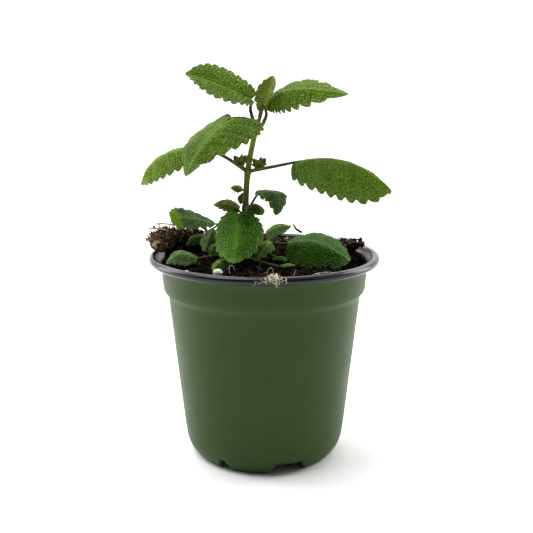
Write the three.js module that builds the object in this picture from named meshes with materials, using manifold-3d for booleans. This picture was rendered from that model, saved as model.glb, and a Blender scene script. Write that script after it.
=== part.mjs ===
// Potted lemon balm: a young herb in a round nursery pot.
// Millimetres, +Z up, origin on the pot's axis at the ground, camera side of the plant at -Y.
import * as THREE from 'three';
import { mergeVertices } from 'three/addons/utils/BufferGeometryUtils.js';
import Module from 'manifold-3d';

const wasm = await Module();
wasm.setup();

// ---- Pot: one thermoformed shell -------------------------------------------------
const POT_WALL = 1.1;          // wall thickness
const FOOT_RADIUS = 34.5;      // outer radius where the foot meets the ground
const BODY_LOW_RADIUS = 39.8;  // outer radius just above the rounded lower corner
const BODY_LOW_Z = 9.2;
const CORNER = [[36.9, 2.7], [39, 6.5]]; // points of the rounding between foot and body
const BODY_TOP_RADIUS = 47.9;  // outer radius below the step
const BODY_TOP_Z = 82.5;
const BAND_RADIUS = 50.3;      // outer radius of the band above the step
const BAND_LOW_Z = 86;
const BAND_TOP_RADIUS = 51.3;
const BAND_TOP_Z = 96.5;
const RIM_RADIUS = 55;         // centre line of the rolled rim
const RIM_Z = 100.2;
const RIM_BEAD = 2;            // radius of the rolled rim
const FLOOR_Z = 7.4;            // underside of the raised floor
const POT_SEGMENTS = 56;
// Drain gaps cut in the foot: [degrees from the front towards the right, width in degrees]
const DRAIN_GAPS = [[-32, 14], [18.5, 32], [66, 14], [118, 16], [168, 12], [-142, 16], [-82, 14]];
const DRAIN_HEIGHT = 6.3;
const DRAIN_SLOPE = 6.5;       // degrees over which the sides of a gap rise

// ---- Potting mix -----------------------------------------------------------------
const SOIL_LEVEL = 98;
const GAP = 0.3;               // clearance left between neighbouring pieces
const SOIL_RINGS = 7;
const SOIL_SEGMENTS = 36;
// Bumps and hollows of the surface: [x, y, height, x spread, y spread]
const SOIL_BUMPS = [
  [-43, 12, 11.5, 17, 18],
  [44, 20, 6, 7, 9],
  [45, -8, -7, 11, 16],
  [0, 46, 1.5, 30, 12],
  [-10.4, 0, 1, 9, 9],
  [-18, -42, 2.2, 26, 9],
];

// ---- Stem ------------------------------------------------------------------------
const STEM_POINTS = [[-10.4, 0, 99.5], [-9.4, 0, 122], [-8.2, 0, 141], [-5.6, 0, 156], [-2.8, 0, 166]];
const STEM_RADIUS = 1.65;
const STEM_ROUND = 0.55;       // corner rounding of the square stem, as a share of its half width
const APEX = [-2, 1.4, 172];

// ---- Leaves ----------------------------------------------------------------------
const BLADE = 0.8;             // blade thickness
const PETIOLE_RADIUS = 0.85;
// base, tip: the two ends of the midrib. width: across the blade. arch: how far the midrib
// bows up, peak: where along it. roll: turn about the midrib. fold, curl: how far each half
// slopes down at the midrib and bends further towards its edge, left half then right half,
// in degrees. shape: the outline's control widths. lobe: how far the basal lobes reach back.
// stalk: where the petiole starts, bend: the point it bends around.
const LEAVES = {
  top_left: {
    base: [-6.6, 1.5, 177.2], tip: [-37.4, -3, 188.8], width: 21.89, arch: 1.48, peak: 0.63,
    roll: -37.34, fold: [-14.6, -20.7], curl: [19.9, 23.1], lobe: 0.16,
    shape: [0.509, 0.52, 0.797], stalk: [-4.6, 0, 164.5], bend: [-6.6, 1, 172],
  },
  top_right: {
    base: [0.4, 4.6, 174.3], tip: [39.5, -12, 179.6], width: 22.78, arch: 6.26, peak: 0.27,
    roll: 23.86, fold: [1.8, 25.6], curl: [9.8, 39.7], lobe: 0.01,
    shape: [0.341, 0.475, 0.828], stalk: [-1.2, 0.8, 164.3], bend: [0.9, 2.8, 169.5],
  },
  top_centre: {
    base: [0, -3.2, 174.8], tip: [4.1, 1, 188.1], width: 13.29, arch: -0.35, peak: 0.65,
    roll: -8.07, fold: [-17.6, -13.6], curl: [-4.8, -7.5], lobe: 0.27,
    shape: [0.559, 0.635, 0.756], stalk: [-3, -1.3, 164.3], bend: [-1.6, -2.6, 169.5],
  },
  mid_front: {
    base: [-15.3, -12, 168.7], tip: [-35.5, -32, 143.4], width: 38.55, arch: 3.84, peak: 0.48,
    roll: -3.94, fold: [6, 1.7], curl: [25.5, 34.3], lobe: 0.43,
    shape: [0.681, 0.434, 0.579], stalk: [-4, -1.2, 162], bend: [-9, -6, 167.5],
  },
  mid_left: {
    base: [-32.2, -1, 154.8], tip: [-60.4, 1, 136.1], width: 23.46, arch: 6.09, peak: 0.62,
    roll: -9.77, fold: [26.7, 12.3], curl: [16.5, 10.3], lobe: 0.22,
    shape: [0.604, 0.905, 0.879], stalk: [-8.4, 0, 142.5], bend: [-20, 1, 150],
  },
  mid_right: {
    base: [15.2, 2, 147], tip: [60.5, -20, 136.2], width: 36.42, arch: 7.08, peak: 0.52,
    roll: 3.24, fold: [22, 40.9], curl: [21.5, 17.4], lobe: 0.2,
    shape: [0.672, 0.911, 0.843], stalk: [-8, 0, 142.5], bend: [5, 1.4, 143.6],
  },
  drooping: {
    base: [-0.6, 4, 132.7], tip: [5.8, -2, 121.1], width: 14.75, arch: 7.54, peak: 0.63,
    roll: 4.8, fold: [8.2, 1.9], curl: [13.1, 34.4], lobe: 0.24,
    shape: [0.611, 0.758, 0.681], stalk: [-9, 1, 121.5], bend: [-4, 3, 130],
  },
  node_left: {
    base: [-10.9, 3.6, 133], tip: [-16.9, 6.6, 133.6], width: 6.8, arch: 1.8, peak: 0.4,
    roll: -23, fold: [12, 28], curl: [9, 13], lobe: 0.15,
    stalk: [-8.9, 1, 130], bend: [-9.5, 2.6, 132.5],
  },
  node_low: {
    base: [-10.6, 6.5, 131], tip: [-11.8, 8, 125], width: 5, arch: 1.2, peak: 0.5,
    roll: 0, fold: [15, 21], curl: [10, 13], lobe: 0.15,
    stalk: [-9, 1.5, 127.5], bend: [-9.6, 4.5, 131],
  },
  low_left: {
    base: [-12.7, 1.4, 123.7], tip: [-25.2, 2.4, 125.7], width: 9.27, arch: 2.2, peak: 0.37,
    roll: -27.5, fold: [12.9, 1.8], curl: [3.3, 23.5], lobe: 0.14,
    shape: [0.567, 0.64, 0.816], stalk: [-9.8, 0.3, 121.5], bend: [-12, 1, 122.5],
  },
  centre_top: {
    base: [-8.4, -4.5, 126.1], tip: [-1.2, -11.5, 122.7], width: 9.79, arch: 3.32, peak: 0.54,
    roll: -0.45, fold: [15.5, 29.8], curl: [21.7, 16.3], lobe: 0.03,
    shape: [0.801, 0.863, 0.984], stalk: [-9, -0.5, 121], bend: [-8.2, -3, 124],
  },
  centre: {
    base: [-11.9, -7, 122.5], tip: [-14.2, -34, 103.8], width: 25.9, arch: -0.17, peak: 0.47,
    roll: 0.18, fold: [13.2, 14.1], curl: [35.9, 29.7], lobe: 0.36,
    shape: [0.584, 0.574, 0.739], stalk: [-10.1, -0.8, 116], bend: [-11, -4, 120],
  },
  left_grey: {
    base: [-25.5, 0, 114.4], tip: [-29.2, -11, 104.6], width: 15.31, arch: 1.46, peak: 0.37,
    roll: -23, fold: [31.5, 46.7], curl: [24.8, 23.4], lobe: 0.04,
    shape: [0.42, 0.577, 0.643], stalk: [-10.6, 0, 112], bend: [-17, 2, 118],
  },
  left_back: {
    base: [-25.5, 11, 115.1], tip: [-46.3, 0, 119.4], width: 16.35, arch: 2.03, peak: 0.74,
    roll: -37.58, fold: [-0.9, 10.1], curl: [8, 8.5], lobe: 0,
    shape: [0.342, 1.117, 0.837], stalk: [-10.4, 1, 109], bend: [-17, 8, 113],
  },
  left_small: {
    base: [-29.9, 5, 109.6], tip: [-38.5, 0, 105.9], width: 7.56, arch: 1.79, peak: 0.41,
    roll: -27.44, fold: [19.5, 15.6], curl: [9.4, 13.4], lobe: 0.13,
    shape: [0.544, 0.677, 0.72], stalk: [-11.5, 1, 104.5], bend: [-20, 4, 108],
  },
  left_soil: {
    base: [-32.1, -21, 103.7], tip: [-46.2, -23.4, 101.5], width: 13.39, arch: 3.82, peak: 0.51,
    roll: -12.56, fold: [24, 3.6], curl: [7.7, 22.5], lobe: 0.08,
    shape: [0.476, 0.584, 0.835], stalk: [-11.6, -1, 102.5], bend: [-24, -16, 104],
  },
  inner_dark: {
    base: [-20.6, -10, 108.3], tip: [-26.4, -13.5, 102.6], width: 6.5, arch: 2.4, peak: 0.5,
    roll: -13, fold: [28, 13], curl: [14, 9], lobe: 0.15,
    stalk: [-11.3, -1, 106.5], bend: [-16, -6, 109],
  },
  front_low: {
    base: [-16.8, -22, 103.2], tip: [-23.7, -33, 100.5], width: 10.95, arch: 1.77, peak: 0.33,
    roll: -11.41, fold: [50, 21.9], curl: [14.9, 9.5], lobe: 0.1,
    shape: [0.224, 0.762, 0.549], stalk: [-10.8, -1.4, 101.2], bend: [-13.5, -13, 103.5],
  },
  right_inner: {
    base: [3.2, -2, 107], tip: [-4.9, -19.5, 102.1], width: 10.91, arch: 4.4, peak: 0.33,
    roll: -33.58, fold: [30.1, 24.2], curl: [5.5, 23.6], lobe: 0.37,
    shape: [0.445, 0.805, 0.548], stalk: [-9.4, 1, 108.5], bend: [-1, 2, 110],
  },
  right_back: {
    base: [0.9, 22, 107.9], tip: [14, 23, 111.5], width: 12.46, arch: 2.21, peak: 0.37,
    roll: 31.15, fold: [22.4, 5.3], curl: [18.9, -7.1], lobe: 0.18,
    shape: [0.671, 0.576, 0.815], stalk: [-9.6, 1.5, 103.5], bend: [-3, 18, 104],
  },
  right_big: {
    base: [11.8, -3, 107.3], tip: [41.2, -11, 100.1], width: 27.66, arch: 4.76, peak: 0.45,
    roll: 2.06, fold: [-2.5, 34.3], curl: [4.7, 26.9], lobe: 0.27,
    shape: [0.717, 0.902, 0.759], stalk: [-9.2, 0.5, 104], bend: [2, 1.8, 106.6],
  },
  right_dark: {
    base: [6, -7, 101.2], tip: [10.6, -15, 100.7], width: 5.6, arch: 1.2, peak: 0.5,
    roll: 5, fold: [15, 15], curl: [12, 12], lobe: 0.15,
    stalk: [-9, -1, 100.9], bend: [2, -1.4, 101.6],
  },
  right_thin: {
    base: [7.9, -29, 101.6], tip: [14.5, -27.5, 101.4], width: 4.5, arch: 0.8, peak: 0.5,
    roll: 2, fold: [13, 13], curl: [11, 10], lobe: 0.1,
    stalk: [-9.4, -1.6, 100.4], bend: [3, -24, 101.4],
  },
};
const LARGE_LEAF = 20;         // blades wider than this get the finer grid

// ---- Buds ------------------------------------------------------------------------
// Each shoot: where its stalk starts, its bend, its end, and the buds' reach
const SHOOTS = {
  shoot_left: { from: [-9, -1.9, 142.6], bend: [-10.2, -2.6, 144.8], to: [-11.6, -2.8, 147], size: 3.1 },
  shoot_right: { from: [-6.6, -1.9, 142.6], bend: [-4.6, -2.6, 143.8], to: [-2.4, -2.8, 145.6], size: 3.1 },
};

// ---- Loose pieces ----------------------------------------------------------------
// Perlite granules: [x, y, size, flatness]
const PERLITE = [
  [-20.8, -43, 4.6, 0.8], [-36, -31, 3, 0.7], [-42, -17, 3.2, 0.7],
  [-37, 21, 3.6, 0.45], [24, -34, 2.6, 0.7], [33, 30, 2.8, 0.7],
];
// Bark slivers on the fibre mat: [start, end, width]
const SLIVERS = [
  [[-58.5, 4, 113.7], [-47, 1, 113], 1.8],
  [[-56, 14, 114.3], [-44, 12, 113.8], 1.4],
];
const TWIG = [[20.5, 50, 103.5], [17.5, 49, 105.5], [15.8, 48, 108.3]];
const MAT_CENTRE = [-50.6, 8, 106.8];
const MAT_SIZE = [7.6, 18, 5];
// Tuft of pale roots and perlite dust caught on the front of the rim
const TUFT_CENTRE = [4, -55.4, 103.4];
const TUFT_SIZE = [4.2, 2, 1.7];

const COLOURS = {
  pot: [0x3a5226, 0.42],
  soil: [0x2a1c12, 0.95],
  fibre: [0x3a2517, 0.95],
  leaf: [0x3f741c, 0.6],
  leafDark: [0x2f5a1c, 0.6],
  leafGrey: [0x567a4a, 0.65],
  leafYoung: [0x56661a, 0.6],
  stem: [0x6b7440, 0.6],
  perlite: [0xe8e4cc, 0.9],
  bark: [0xa88a5c, 0.85],
};
const YOUNG = ['top_centre', 'low_left', 'node_left'];
const GREY = ['left_grey', 'left_back', 'left_small', 'left_soil', 'drooping'];
const DARK = ['inner_dark', 'right_dark', 'right_back', 'centre_top'];

const UP = new THREE.Vector3(0, 0, 1);
const vec = (p) => new THREE.Vector3(...p);
const rad = (degrees) => (degrees * Math.PI) / 180;

// ---- Solids ----------------------------------------------------------------------
function toManifold(geometry) {
  const bare = geometry.clone();
  bare.deleteAttribute('normal');
  bare.deleteAttribute('uv');
  const merged = mergeVertices(bare, 1e-4);
  const index = merged.index.array;
  const kept = [];
  for (let i = 0; i < index.length; i += 3) {
    const [a, b, c] = [index[i], index[i + 1], index[i + 2]];
    if (a !== b && b !== c && c !== a) kept.push(a, b, c);
  }
  const mesh = new wasm.Mesh({
    numProp: 3,
    vertProperties: new Float32Array(merged.attributes.position.array),
    triVerts: new Uint32Array(kept),
  });
  const solid = new wasm.Manifold(mesh);
  if (solid.volume() > 0) return solid;
  for (let i = 0; i < kept.length; i += 3) [kept[i], kept[i + 1]] = [kept[i + 1], kept[i]];
  return new wasm.Manifold(new wasm.Mesh({
    numProp: 3,
    vertProperties: new Float32Array(merged.attributes.position.array),
    triVerts: new Uint32Array(kept),
  }));
}

function toGeometry(solid) {
  const mesh = solid.getMesh();
  const geometry = new THREE.BufferGeometry();
  const count = mesh.vertProperties.length / mesh.numProp;
  const positions = new Float32Array(count * 3);
  for (let i = 0; i < count; i += 1) {
    for (let j = 0; j < 3; j += 1) positions[3 * i + j] = mesh.vertProperties[i * mesh.numProp + j];
  }
  geometry.setAttribute('position', new THREE.BufferAttribute(positions, 3));
  geometry.setIndex(Array.from(mesh.triVerts));
  geometry.computeVertexNormals();
  return geometry;
}

function largestBody(solid) {
  const bodies = solid.decompose();
  bodies.sort((a, b) => b.volume() - a.volume());
  return bodies[0];
}

function fromFaces(points, faces) {
  const geometry = new THREE.BufferGeometry();
  geometry.setAttribute('position', new THREE.Float32BufferAttribute(points.flat(), 3));
  geometry.setIndex(faces.flat());
  return toManifold(geometry);
}

// Closed tube through points, with a cross-section given by its outline
function tube(points, outline, steps) {
  const curve = new THREE.CatmullRomCurve3(points.map(vec));
  const shape = new THREE.Shape(outline.map(([x, y]) => new THREE.Vector2(x, y)));
  return toManifold(new THREE.ExtrudeGeometry(shape, { steps, extrudePath: curve, bevelEnabled: false }));
}

function ring(radius, sides) {
  return Array.from({ length: sides }, (_, i) => {
    const a = (2 * Math.PI * i) / sides;
    return [radius * Math.cos(a), radius * Math.sin(a)];
  });
}

// Square outline with rounded corners
function roundedSquare(half) {
  const inner = half * (1 - STEM_ROUND);
  const outline = [];
  for (const [sx, sy] of [[1, -1], [1, 1], [-1, 1], [-1, -1]]) {
    const first = [sx * half, sy * inner];
    const last = [sx * inner, sy * half];
    outline.push(...(sx * sy > 0 ? [first, last] : [last, first]));
  }
  return outline;
}

// ---- Pot and potting mix ---------------------------------------------------------
function lathe(profile, segments) {
  const points = [...profile, profile[0]].map(([r, z]) => new THREE.Vector2(r, z));
  const geometry = new THREE.LatheGeometry(points, segments);
  geometry.rotateX(Math.PI / 2);
  return toManifold(geometry);
}

function innerRadius(z) {
  const t = (z - BODY_LOW_Z) / (BODY_TOP_Z - BODY_LOW_Z);
  const body = BODY_LOW_RADIUS + (BODY_TOP_RADIUS - BODY_LOW_RADIUS) * t;
  const band = BAND_RADIUS + ((BAND_TOP_RADIUS - BAND_RADIUS) * (z - BAND_LOW_Z)) / (BAND_TOP_Z - BAND_LOW_Z);
  return (z > BAND_LOW_Z ? band : body) - POT_WALL;
}

function beadArc(fromDeg, toDeg, steps, radius) {
  return Array.from({ length: steps + 1 }, (_, i) => {
    const a = rad(fromDeg + ((toDeg - fromDeg) * i) / steps);
    return [RIM_RADIUS + radius * Math.cos(a), RIM_Z + radius * Math.sin(a)];
  });
}

function potShell() {
  const w = POT_WALL;
  const profile = [
    [0, FLOOR_Z], [FOOT_RADIUS - 4, FLOOR_Z], [FOOT_RADIUS - 1.9, 0], [FOOT_RADIUS, 0],
    ...CORNER, [BODY_LOW_RADIUS, BODY_LOW_Z],
    [BODY_TOP_RADIUS, BODY_TOP_Z], [BAND_RADIUS, BAND_LOW_Z], [BAND_TOP_RADIUS, BAND_TOP_Z],
    [BAND_TOP_RADIUS + 1.6, BAND_TOP_Z + 2.6],
    ...beadArc(-120, 150, 7, RIM_BEAD),
    [BAND_TOP_RADIUS + 0.4, BAND_TOP_Z + 3.2], [BAND_TOP_RADIUS - w, BAND_TOP_Z],
    [BAND_RADIUS - w, BAND_LOW_Z + 0.4], [BODY_TOP_RADIUS - w, BODY_TOP_Z + 0.4],
    [BODY_LOW_RADIUS - w, BODY_LOW_Z + 1.4], [BODY_LOW_RADIUS - 2.6, FLOOR_Z + w], [0, FLOOR_Z + w],
  ];
  return lathe(profile, POT_SEGMENTS);
}

// Wedge across the foot ring, narrower at its top
function drainWedge([angle, width]) {
  const [near, far] = [FOOT_RADIUS - 8, BODY_LOW_RADIUS + 4];
  const slope = Math.min(DRAIN_SLOPE, 0.4 * width);
  const points = [];
  for (const [z, reach] of [[-5, width / 2 + (5 * slope) / DRAIN_HEIGHT], [DRAIN_HEIGHT, width / 2 - slope]]) {
    for (const [r, sign] of [[near, -1], [far, -1], [far, 1], [near, 1]]) {
      const a = rad(angle + sign * reach - 90);
      points.push([r * Math.cos(a), r * Math.sin(a), z]);
    }
  }
  const faces = [[0, 3, 2], [0, 2, 1], [4, 5, 6], [4, 6, 7]];
  for (let i = 0; i < 4; i += 1) {
    const j = (i + 1) % 4;
    faces.push([i, j, j + 4], [i, j + 4, i + 4]);
  }
  return fromFaces(points, faces);
}

function pot() {
  let solid = potShell();
  for (const gap of DRAIN_GAPS) solid = solid.subtract(drainWedge(gap));
  return solid;
}

function soilHeight(x, y) {
  let z = SOIL_LEVEL;
  for (const [cx, cy, h, sx, sy] of SOIL_BUMPS) {
    z += h * Math.exp(-(((x - cx) / sx) ** 2) - ((y - cy) / sy) ** 2);
  }
  return z + 0.35 * Math.sin(x * 0.41 + 1) * Math.cos(y * 0.37);
}

// The mix fills the pot up to its surface; grow swells it upwards and outwards
function soil(grow) {
  const points = [];
  const faces = [];
  const walls = [FLOOR_Z + POT_WALL + GAP, BODY_TOP_Z, BAND_LOW_Z + 2];
  const at = (i) => (2 * Math.PI * i) / SOIL_SEGMENTS;
  const edge = BAND_TOP_RADIUS - POT_WALL - GAP - 0.4 + grow;
  points.push([0, 0, soilHeight(0, 0) + grow]);
  for (let k = 1; k <= SOIL_RINGS; k += 1) {
    for (let i = 0; i < SOIL_SEGMENTS; i += 1) {
      const [x, y] = [(edge * k * Math.cos(at(i))) / SOIL_RINGS, (edge * k * Math.sin(at(i))) / SOIL_RINGS];
      points.push([x, y, soilHeight(x, y) + grow]);
    }
  }
  for (const z of [...walls].reverse()) {
    const low = z === walls[0];
    const r = (low ? BODY_LOW_RADIUS - 3.2 : innerRadius(z)) - GAP - 0.2 + grow;
    for (let i = 0; i < SOIL_SEGMENTS; i += 1) points.push([r * Math.cos(at(i)), r * Math.sin(at(i)), z]);
  }
  points.push([0, 0, walls[0]]);
  const rings = SOIL_RINGS + walls.length;
  const id = (k, i) => 1 + (k - 1) * SOIL_SEGMENTS + (i % SOIL_SEGMENTS);
  for (let i = 0; i < SOIL_SEGMENTS; i += 1) {
    faces.push([0, id(1, i), id(1, i + 1)]);
    for (let k = 1; k < rings; k += 1) {
      faces.push([id(k, i), id(k + 1, i), id(k + 1, i + 1)]);
      faces.push([id(k, i), id(k + 1, i + 1), id(k, i + 1)]);
    }
    faces.push([id(rings, i), points.length - 1, id(rings, i + 1)]);
  }
  return fromFaces(points, faces);
}

// A lump: a coarse ball pushed in and out by waves
function lump(centre, size, detail, rough, seed) {
  const geometry = new THREE.IcosahedronGeometry(1, detail);
  const p = geometry.attributes.position;
  for (let i = 0; i < p.count; i += 1) {
    const v = new THREE.Vector3().fromBufferAttribute(p, i);
    const wave = Math.sin(3.1 * v.x + seed) * Math.cos(2.7 * v.y - seed) + Math.sin(4.3 * v.z + 2 * seed);
    v.multiplyScalar(1 + (rough * wave) / 2);
    p.setXYZ(i, centre[0] + v.x * size[0], centre[1] + v.y * size[1], centre[2] + v.z * size[2]);
  }
  return toManifold(geometry);
}

function rimClearance() {
  return lathe([
    [BAND_TOP_RADIUS - POT_WALL - 0.4, 60], [BAND_TOP_RADIUS + 1, 60],
    [BAND_TOP_RADIUS + 1.8, RIM_Z - 3], ...beadArc(-100, 160, 8, RIM_BEAD + GAP + 0.1),
    [BAND_TOP_RADIUS - POT_WALL - 0.4, BAND_TOP_Z + 2],
  ], POT_SEGMENTS);
}

// Mat of fibres lying over the rim on the left
function fibreMat() {
  const mat = lump(MAT_CENTRE, MAT_SIZE, 3, 0.14, 1.3);
  return largestBody(mat.subtract(rimClearance()).subtract(soil(GAP)));
}

function rimTuft() {
  return largestBody(lump(TUFT_CENTRE, TUFT_SIZE, 2, 0.2, 0.7).subtract(rimClearance()));
}

// ---- Leaves ----------------------------------------------------------------------
function midribOf(leaf) {
  const [base, tip] = [vec(leaf.base), vec(leaf.tip)];
  const axis = tip.clone().sub(base).normalize();
  const across = new THREE.Vector3().crossVectors(axis, UP).normalize().applyAxisAngle(axis, rad(leaf.roll));
  const normal = new THREE.Vector3().crossVectors(across, axis);
  const control = base.clone().lerp(tip, leaf.peak).addScaledVector(normal, 2 * leaf.arch);
  return { base, tip, control, across };
}

function midribPoint({ base, control, tip }, u) {
  const t = Math.max(u, 0);
  const point = base.clone().multiplyScalar((1 - t) ** 2);
  point.addScaledVector(control, 2 * t * (1 - t)).addScaledVector(tip, t * t);
  return point.addScaledVector(control.clone().sub(base), 2 * Math.min(u, 0));
}

function midribTangent({ base, control, tip }, u) {
  const t = Math.min(Math.max(u, 0), 1);
  const first = control.clone().sub(base).multiplyScalar(1 - t);
  return first.addScaledVector(tip.clone().sub(control), t).normalize();
}

// Outline of one half: how far along (share of the length) and how far out (mm)
function marginPoint(leaf, k) {
  const [out0, along1, out1] = leaf.shape ?? [0.62, 0.6, 0.76];
  const m = 1 - k;
  const along = -3 * m * m * k * leaf.lobe + 3 * m * k * k * along1 + k ** 3;
  const out = 3 * m * m * k * out0 * leaf.width + 3 * m * k * k * out1 * leaf.width;
  return [along, out];
}

// Point of the blade: k runs along the margin, q from the midrib out, lift along the normal
function bladePoint(leaf, rib, side, k, q, lift) {
  const [edgeAlong, edgeOut] = marginPoint(leaf, k);
  const start = Math.max((k - 0.18) / 0.82, 0) ** 1.1;
  const along = start * (1 - q) + edgeAlong * q;
  const out = edgeOut * q;
  const tangent = midribTangent(rib, along);
  const across = rib.across.clone().addScaledVector(tangent, -rib.across.dot(tangent)).normalize();
  const normal = new THREE.Vector3().crossVectors(across, tangent);
  const i = side < 0 ? 0 : 1;
  const fold = rad(leaf.fold[i]);
  const curl = rad(leaf.curl[i]) || 1e-3;
  const half = leaf.width / 2;
  const angle = fold + (curl * out) / half;
  const reach = (half * (Math.sin(angle) - Math.sin(fold))) / curl;
  const drop = (half * (Math.cos(fold) - Math.cos(angle))) / curl;
  const point = midribPoint(rib, along).addScaledVector(across, side * reach).addScaledVector(normal, -drop);
  const lean = out === 0 ? 0 : angle;
  point.addScaledVector(across, side * Math.sin(lean) * lift);
  return point.addScaledVector(normal, Math.cos(lean) * lift);
}

function blade(leaf) {
  const rib = midribOf(leaf);
  const [rows, columns] = leaf.width > LARGE_LEAF ? [12, 3] : [8, 2];
  const points = [];
  const faces = [];
  const add = (side, i, j, lift) => {
    const p = bladePoint(leaf, rib, side, i / rows, j / columns, lift);
    return points.push([p.x, p.y, p.z]) - 1;
  };
  for (const side of [-1, 1]) {
    const grid = [BLADE / 2, -BLADE / 2].map((lift) => Array.from({ length: rows + 1 }, (_, i) => (
      Array.from({ length: columns + 1 }, (__, j) => add(side, i, j, lift)))));
    const face = (a, b, c, d, flip) => faces.push(...(flip ? [[a, c, b], [a, d, c]] : [[a, b, c], [a, c, d]]));
    for (let i = 0; i < rows; i += 1) {
      for (let j = 0; j < columns; j += 1) {
        for (const top of [0, 1]) {
          const g = grid[top];
          face(g[i][j], g[i][j + 1], g[i + 1][j + 1], g[i + 1][j], (side < 0) !== (top === 1));
        }
      }
      const [t, b] = [grid[0], grid[1]];
      face(t[i][columns], b[i][columns], b[i + 1][columns], t[i + 1][columns], side < 0);
    }
  }
  return fromFaces(points, faces);
}

function petiole(leaf) {
  const rib = midribOf(leaf);
  const inside = midribPoint(rib, leaf.width > LARGE_LEAF ? 0.12 : 0.2);
  const end = [inside.x, inside.y, inside.z];
  const radius = leaf.width > LARGE_LEAF ? PETIOLE_RADIUS : PETIOLE_RADIUS * 0.8;
  return tube([leaf.stalk, leaf.bend, leaf.base, end], ring(radius, 5), 6);
}

function stem(extra) {
  const outline = roundedSquare(STEM_RADIUS + extra);
  const ends = STEM_POINTS.map((p) => [...p]);
  ends[0][2] -= extra;
  ends[ends.length - 1][2] += extra;
  return tube(ends, outline, 12);
}

function leafSolid(leaf, clearOf) {
  let solid = blade(leaf).add(petiole(leaf));
  for (const other of clearOf) solid = solid.subtract(other);
  return largestBody(solid);
}

// A young shoot: stalk and a cluster of small folded leaves
function shoot({ from, bend, to, size }, clearOf) {
  let solid = tube([from, bend, to], ring(0.8, 6), 5);
  const s = size;
  solid = solid.add(lump([to[0], to[1], to[2] + 0.4 * s], [0.75 * s, 0.7 * s, 0.75 * s], 1, 0.1, 0.4));
  solid = solid.add(lump([to[0] - 0.7 * s, to[1], to[2] + 0.9 * s], [0.8 * s, 0.5 * s, 0.6 * s], 1, 0.1, 1.9));
  solid = solid.add(lump([to[0] + 0.8 * s, to[1], to[2] + 0.9 * s], [0.8 * s, 0.5 * s, 0.6 * s], 1, 0.1, 2.6));
  return largestBody(solid.subtract(clearOf));
}

function apexBud() {
  const [x, y, z] = APEX;
  const top = STEM_POINTS[STEM_POINTS.length - 1];
  const stalk = tube([[top[0] + 0.3, y - 1.2, top[2] + GAP + 0.1], [x - 0.4, y, z - 3], [x, y, z - 1]], ring(0.6, 6), 4);
  return largestBody(stalk.add(lump([x, y, z - 0.8], [1.5, 1.2, 2.2], 1, 0.08, 0.7)));
}

// ---- Assembly --------------------------------------------------------------------
function material([colour, roughness]) {
  return new THREE.MeshStandardMaterial({ color: colour, roughness, metalness: 0 });
}

function node(group, name, solid, colour) {
  const mesh = new THREE.Mesh(toGeometry(solid), material(colour));
  mesh.name = name;
  group.add(mesh);
}

function leafColour(name) {
  if (YOUNG.includes(name)) return COLOURS.leafYoung;
  if (GREY.includes(name)) return COLOURS.leafGrey;
  return DARK.includes(name) ? COLOURS.leafDark : COLOURS.leaf;
}

const group = new THREE.Group();
group.name = 'potted_lemon_balm';
node(group, 'pot', pot(), COLOURS.pot);
node(group, 'potting_mix', soil(0), COLOURS.soil);
node(group, 'fibre_mat', fibreMat(), COLOURS.fibre);
node(group, 'main_stem', stem(0), COLOURS.stem);
const grownStem = stem(GAP);
const bud = apexBud();
node(group, 'apex_bud', bud, COLOURS.leafYoung);
const grownSoil = soil(GAP);
for (const [name, leaf] of Object.entries(LEAVES)) {
  node(group, `leaf_${name}`, leafSolid(leaf, [grownStem, grownSoil]), leafColour(name));
}
for (const [name, parts] of Object.entries(SHOOTS)) {
  node(group, name, shoot(parts, grownStem), COLOURS.leafYoung);
}
PERLITE.forEach(([x, y, size, flat], i) => {
  const z = soilHeight(x, y) + 0.34 * size * flat;
  const granule = lump([x, y, z], [size / 2, 0.46 * size, 0.5 * size * flat], 1, 0.12, i + 0.5);
  node(group, `perlite_${i + 1}`, largestBody(granule.subtract(grownSoil)), COLOURS.perlite);
});
SLIVERS.forEach(([from, to, width], i) => {
  const flat = [[-width / 2, -0.35], [width / 2, -0.35], [width / 2, 0.35], [-width / 2, 0.35]];
  node(group, `bark_sliver_${i + 1}`, tube([from, to], flat, 1), COLOURS.bark);
});
node(group, 'twig', tube(TWIG, ring(0.7, 6), 6), COLOURS.fibre);
node(group, 'rim_tuft', rimTuft(), COLOURS.perlite);

export default group;
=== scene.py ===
"""Potted lemon balm: the visible shapes and materials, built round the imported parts.

Shapes are worked out in millimetres in the row frame and scaled to metres when they are made.
"""

import math

import bmesh
import bpy
import numpy as np
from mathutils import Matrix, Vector


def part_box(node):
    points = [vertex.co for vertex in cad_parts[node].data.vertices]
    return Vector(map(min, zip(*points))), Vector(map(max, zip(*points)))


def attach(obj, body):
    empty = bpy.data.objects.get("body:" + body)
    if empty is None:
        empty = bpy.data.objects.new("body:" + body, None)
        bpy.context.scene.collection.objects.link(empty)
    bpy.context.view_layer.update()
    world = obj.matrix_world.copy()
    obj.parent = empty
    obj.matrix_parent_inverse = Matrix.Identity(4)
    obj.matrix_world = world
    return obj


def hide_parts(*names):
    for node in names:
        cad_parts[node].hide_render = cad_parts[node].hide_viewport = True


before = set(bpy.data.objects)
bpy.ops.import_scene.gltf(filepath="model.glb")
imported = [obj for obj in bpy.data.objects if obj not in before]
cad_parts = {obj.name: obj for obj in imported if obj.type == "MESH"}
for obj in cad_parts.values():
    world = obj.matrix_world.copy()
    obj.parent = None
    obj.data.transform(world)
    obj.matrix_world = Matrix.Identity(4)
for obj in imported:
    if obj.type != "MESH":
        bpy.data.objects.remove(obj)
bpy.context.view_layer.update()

MM = 0.001
UP = np.array([0.0, 0.0, 1.0])

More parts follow.
